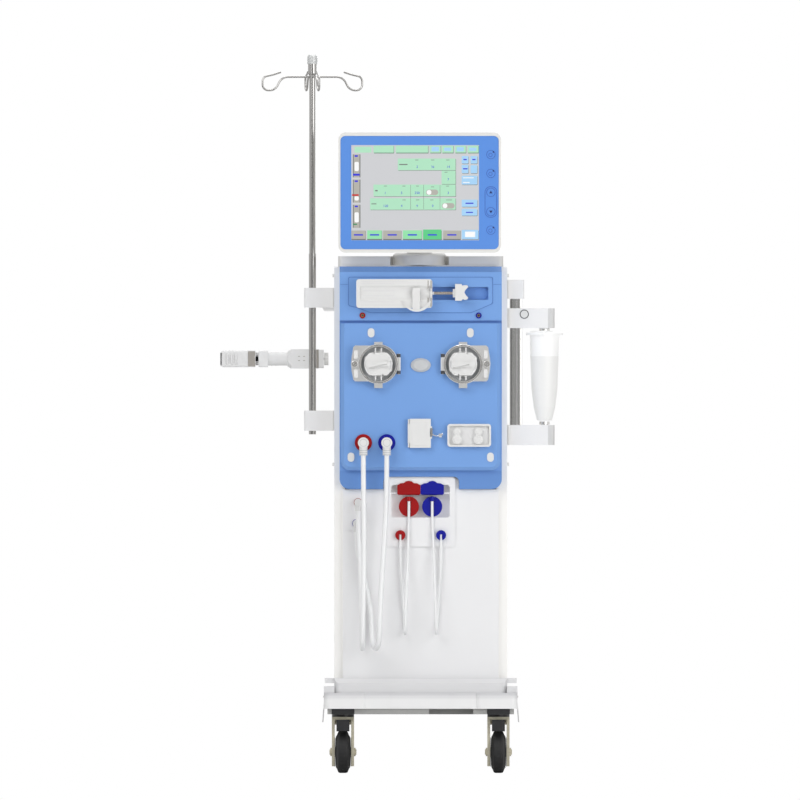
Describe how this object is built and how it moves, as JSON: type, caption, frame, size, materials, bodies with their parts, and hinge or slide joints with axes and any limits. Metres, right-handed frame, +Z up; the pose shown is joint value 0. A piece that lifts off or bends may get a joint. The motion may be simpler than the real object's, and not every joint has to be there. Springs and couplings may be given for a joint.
{
  "type": "haemodialysis machine",
  "caption": "Free-standing dialysis machine on casters with blue front panel, roller pumps, syringe pump, tilting monitor, infusion pole and cartridge station",
  "frame": {"origin": "centre of the bounding box on the floor, hoses left out", "axes": "+Z up, the screen and pumps face -Y, +X to the right as seen from the front"},
  "size_m": [0.8156, 0.588, 1.709],
  "materials": {
    "white_cover": "fine matt",
    "blue_panel": "satin",
    "grey_steel": "grey paint",
    "white_plastic": "satin",
    "red_plastic": "gloss",
    "blue_plastic": "gloss",
    "clear_hose": "translucent silicone",
    "steel": "brushed",
    "black_rubber": "matt",
    "cream_metal": "cream paint",
    "black_plastic": "satin",
    "pump_metal": "cast, bead blasted",
    "monitor_blue": "satin film",
    "screen_glass": "glossy",
    "machinery": "mixed inner units",
    "cartridge_shell": "frosted"
  },
  "bodies": {
    "cabinet": {"chassis_frame": "grey_steel", "base_cover": "white_cover", "side_covers": "white_cover", "rear_cover": "white_cover", "top_cover": "white_cover", "front_panel": "blue_panel", "lower_front_panel": "white_cover", "connector_bay": "white_cover", "hydraulic_unit": "machinery", "power_supply": "machinery", "screw_covers": "white_plastic", "oval_holder": "white_plastic", "red_ports": "red_plastic", "blue_ports": "blue_plastic", "hose_elbows": "white_plastic", "dialysate_hose_red": "clear_hose", "dialysate_hose_blue": "clear_hose", "suction_tube_red": "clear_hose", "suction_tube_blue": "clear_hose", "tube_clip_block": "white_plastic", "detector_body": "white_plastic", "pump_housings": "pump_metal", "syringe_cradle": "white_plastic", "pole_brackets": "white_plastic", "steel_posts": "steel", "station_ends": "white_plastic", "cartridge": "cartridge_shell"},
    "red_flap": {"red_flap": "red_plastic"},
    "blue_flap": {"blue_flap": "blue_plastic"},
    "detector_door": {"detector_door": "white_plastic"},
    "detector_latch": {"detector_latch": "steel"},
    "syringe_clamp": {"syringe_clamp": "white_plastic"},
    "syringe_pusher": {"syringe_pusher": "white_plastic"},
    "monitor_neck": {"monitor_neck": "white_plastic"},
    "monitor": {"monitor_housing": "white_plastic", "monitor_bezel": "monitor_blue", "screen": "screen_glass"},
    "inner_pole": {"inner_pole": "steel"},
    "holder_clamp": {"holder_clamp": "white_plastic"},
    "holder_knob": {"holder_knob": "white_plastic"},
    "holder_arm": {"holder_arm": "white_plastic"},
    "holder_jaw": {"holder_jaw": "white_plastic"},
    "station_arm": {"station_arm": "white_plastic"},
    "station_button": {"station_button": "white_plastic"},
    "left_pump_cover": {"left_pump_cover": "pump_metal"},
    "left_rotor": {"left_rotor": "white_plastic"},
    "left_crank": {"left_crank": "white_plastic"},
    "right_pump_cover": {"right_pump_cover": "pump_metal"},
    "right_rotor": {"right_rotor": "white_plastic"},
    "right_crank": {"right_crank": "white_plastic"},
    "caster_front_left": {"caster_fork_front_left": "cream_metal"},
    "wheel_front_left": {"caster_wheel_front_left": "black_rubber"},
    "pedal_front_left": {"brake_pedal_front_left": "black_plastic"},
    "caster_front_right": {"caster_fork_front_right": "cream_metal"},
    "wheel_front_right": {"caster_wheel_front_right": "black_rubber"},
    "pedal_front_right": {"brake_pedal_front_right": "black_plastic"},
    "caster_rear_left": {"caster_fork_rear_left": "cream_metal"},
    "wheel_rear_left": {"caster_wheel_rear_left": "black_rubber"},
    "caster_rear_right": {"caster_fork_rear_right": "cream_metal"},
    "wheel_rear_right": {"caster_wheel_rear_right": "black_rubber"}
  },
  "joints": [
    {"name": "swivel_front_left", "type": "hinge", "parent": "cabinet", "child": "caster_front_left", "pos_m": [-0.1158, -0.19, 0.15], "axis": [0, 0, 1], "continuous": true},
    {"name": "roll_front_left", "type": "hinge", "parent": "caster_front_left", "child": "wheel_front_left", "pos_m": [-0.1158, -0.218, 0.05], "axis": [1, 0, 0], "continuous": true},
    {"name": "brake_front_left", "type": "hinge", "parent": "caster_front_left", "child": "pedal_front_left", "pos_m": [-0.1158, -0.226, 0.118], "axis": [1, 0, 0], "range_deg": [0, 12]},
    {"name": "swivel_front_right", "type": "hinge", "parent": "cabinet", "child": "caster_front_right", "pos_m": [0.2542, -0.19, 0.15], "axis": [0, 0, 1], "continuous": true},
    {"name": "roll_front_right", "type": "hinge", "parent": "caster_front_right", "child": "wheel_front_right", "pos_m": [0.2542, -0.218, 0.05], "axis": [1, 0, 0], "continuous": true},
    {"name": "brake_front_right", "type": "hinge", "parent": "caster_front_right", "child": "pedal_front_right", "pos_m": [0.2542, -0.226, 0.118], "axis": [1, 0, 0], "range_deg": [0, 12]},
    {"name": "swivel_rear_left", "type": "hinge", "parent": "cabinet", "child": "caster_rear_left", "pos_m": [-0.1158, 0.22, 0.15], "axis": [0, 0, 1], "continuous": true},
    {"name": "roll_rear_left", "type": "hinge", "parent": "caster_rear_left", "child": "wheel_rear_left", "pos_m": [-0.1158, 0.192, 0.05], "axis": [1, 0, 0], "continuous": true},
    {"name": "swivel_rear_right", "type": "hinge", "parent": "cabinet", "child": "caster_rear_right", "pos_m": [0.2542, 0.22, 0.15], "axis": [0, 0, 1], "continuous": true},
    {"name": "roll_rear_right", "type": "hinge", "parent": "caster_rear_right", "child": "wheel_rear_right", "pos_m": [0.2542, 0.192, 0.05], "axis": [1, 0, 0], "continuous": true},
    {"name": "monitor_swivel", "type": "hinge", "parent": "cabinet", "child": "monitor_neck", "pos_m": [0.0666, -0.125, 1.205], "axis": [0, 0, 1], "range_deg": [-45, 45]},
    {"name": "monitor_tilt", "type": "hinge", "parent": "monitor_neck", "child": "monitor", "pos_m": [0.0666, -0.175, 1.33], "axis": [-1, 0, 0], "range_deg": [-5, 30]},
    {"name": "red_flap_open", "type": "hinge", "parent": "cabinet", "child": "red_flap", "pos_m": [0.0412, -0.199, 0.666], "axis": [1, 0, 0], "range_deg": [0, 90]},
    {"name": "blue_flap_open", "type": "hinge", "parent": "cabinet", "child": "blue_flap", "pos_m": [0.0967, -0.199, 0.666], "axis": [1, 0, 0], "range_deg": [0, 90]},
    {"name": "detector_door_open", "type": "hinge", "parent": "cabinet", "child": "detector_door", "pos_m": [0.0408, -0.2445, 0.808], "axis": [0, 0, -1], "range_deg": [0, 110]},
    {"name": "detector_latch_lift", "type": "hinge", "parent": "detector_door", "child": "detector_latch", "pos_m": [0.0952, -0.244, 0.81], "axis": [0, 0, -1], "range_deg": [0, 80]},
    {"name": "right_pump_cover_open", "type": "hinge", "parent": "cabinet", "child": "right_pump_cover", "pos_m": [0.1217, -0.247, 0.9734], "axis": [0, 0, -1], "range_deg": [0, 100]},
    {"name": "left_pump_cover_open", "type": "hinge", "parent": "cabinet", "child": "left_pump_cover", "pos_m": [0.0167, -0.247, 0.9734], "axis": [0, 0, 1], "range_deg": [0, 100]},
    {"name": "right_rotor_spin", "type": "hinge", "parent": "cabinet", "child": "right_rotor", "pos_m": [0.1699, -0.247, 0.9734], "axis": [0, 1, 0], "continuous": true},
    {"name": "right_crank_fold", "type": "hinge", "parent": "right_rotor", "child": "right_crank", "pos_m": [0.1449, -0.265, 0.9734], "axis": [0, 0, -1], "range_deg": [0, 100]},
    {"name": "left_rotor_spin", "type": "hinge", "parent": "cabinet", "child": "left_rotor", "pos_m": [-0.0315, -0.247, 0.9734], "axis": [0, 1, 0], "continuous": true},
    {"name": "left_crank_fold", "type": "hinge", "parent": "left_rotor", "child": "left_crank", "pos_m": [-0.0065, -0.265, 0.9734], "axis": [0, 0, 1], "range_deg": [0, 100]},
    {"name": "syringe_clamp_pull", "type": "slide", "parent": "cabinet", "child": "syringe_clamp", "axis": [0, -1, 0], "range_m": [0, 0.018], "stiffness_N_per_m": 300, "springref_m": -0.01},
    {"name": "syringe_pusher_drive", "type": "slide", "parent": "cabinet", "child": "syringe_pusher", "axis": [1, 0, 0], "range_m": [-0.045, 0.045]},
    {"name": "inner_pole_lift", "type": "slide", "parent": "cabinet", "child": "inner_pole", "axis": [0, 0, 1], "range_m": [-0.085, 0.2]},
    {"name": "holder_slide", "type": "slide", "parent": "cabinet", "child": "holder_clamp", "axis": [0, 0, 1], "range_m": [-0.09, 0.088]},
    {"name": "holder_knob_turn", "type": "hinge", "parent": "holder_clamp", "child": "holder_knob", "pos_m": [-0.1608, -0.08, 0.9856], "axis": [1, 0, 0], "continuous": true},
    {"name": "holder_arm_turn", "type": "hinge", "parent": "holder_clamp", "child": "holder_arm", "pos_m": [-0.2308, -0.07, 0.9856], "axis": [1, 0, 0], "range_deg": [-90, 90]},
    {"name": "holder_jaw_slide", "type": "slide", "parent": "holder_arm", "child": "holder_jaw", "axis": [1, 0, 0], "range_m": [-0.025, 0.0055]},
    {"name": "station_arm_lift", "type": "slide", "parent": "cabinet", "child": "station_arm", "axis": [0, 0, 1], "range_m": [0, 0.022]},
    {"name": "station_button_press", "type": "slide", "parent": "station_arm", "child": "station_button", "axis": [0, 1, 0], "range_m": [0, 0.0028], "stiffness_N_per_m": 600, "springref_m": -0.001}
  ]
}
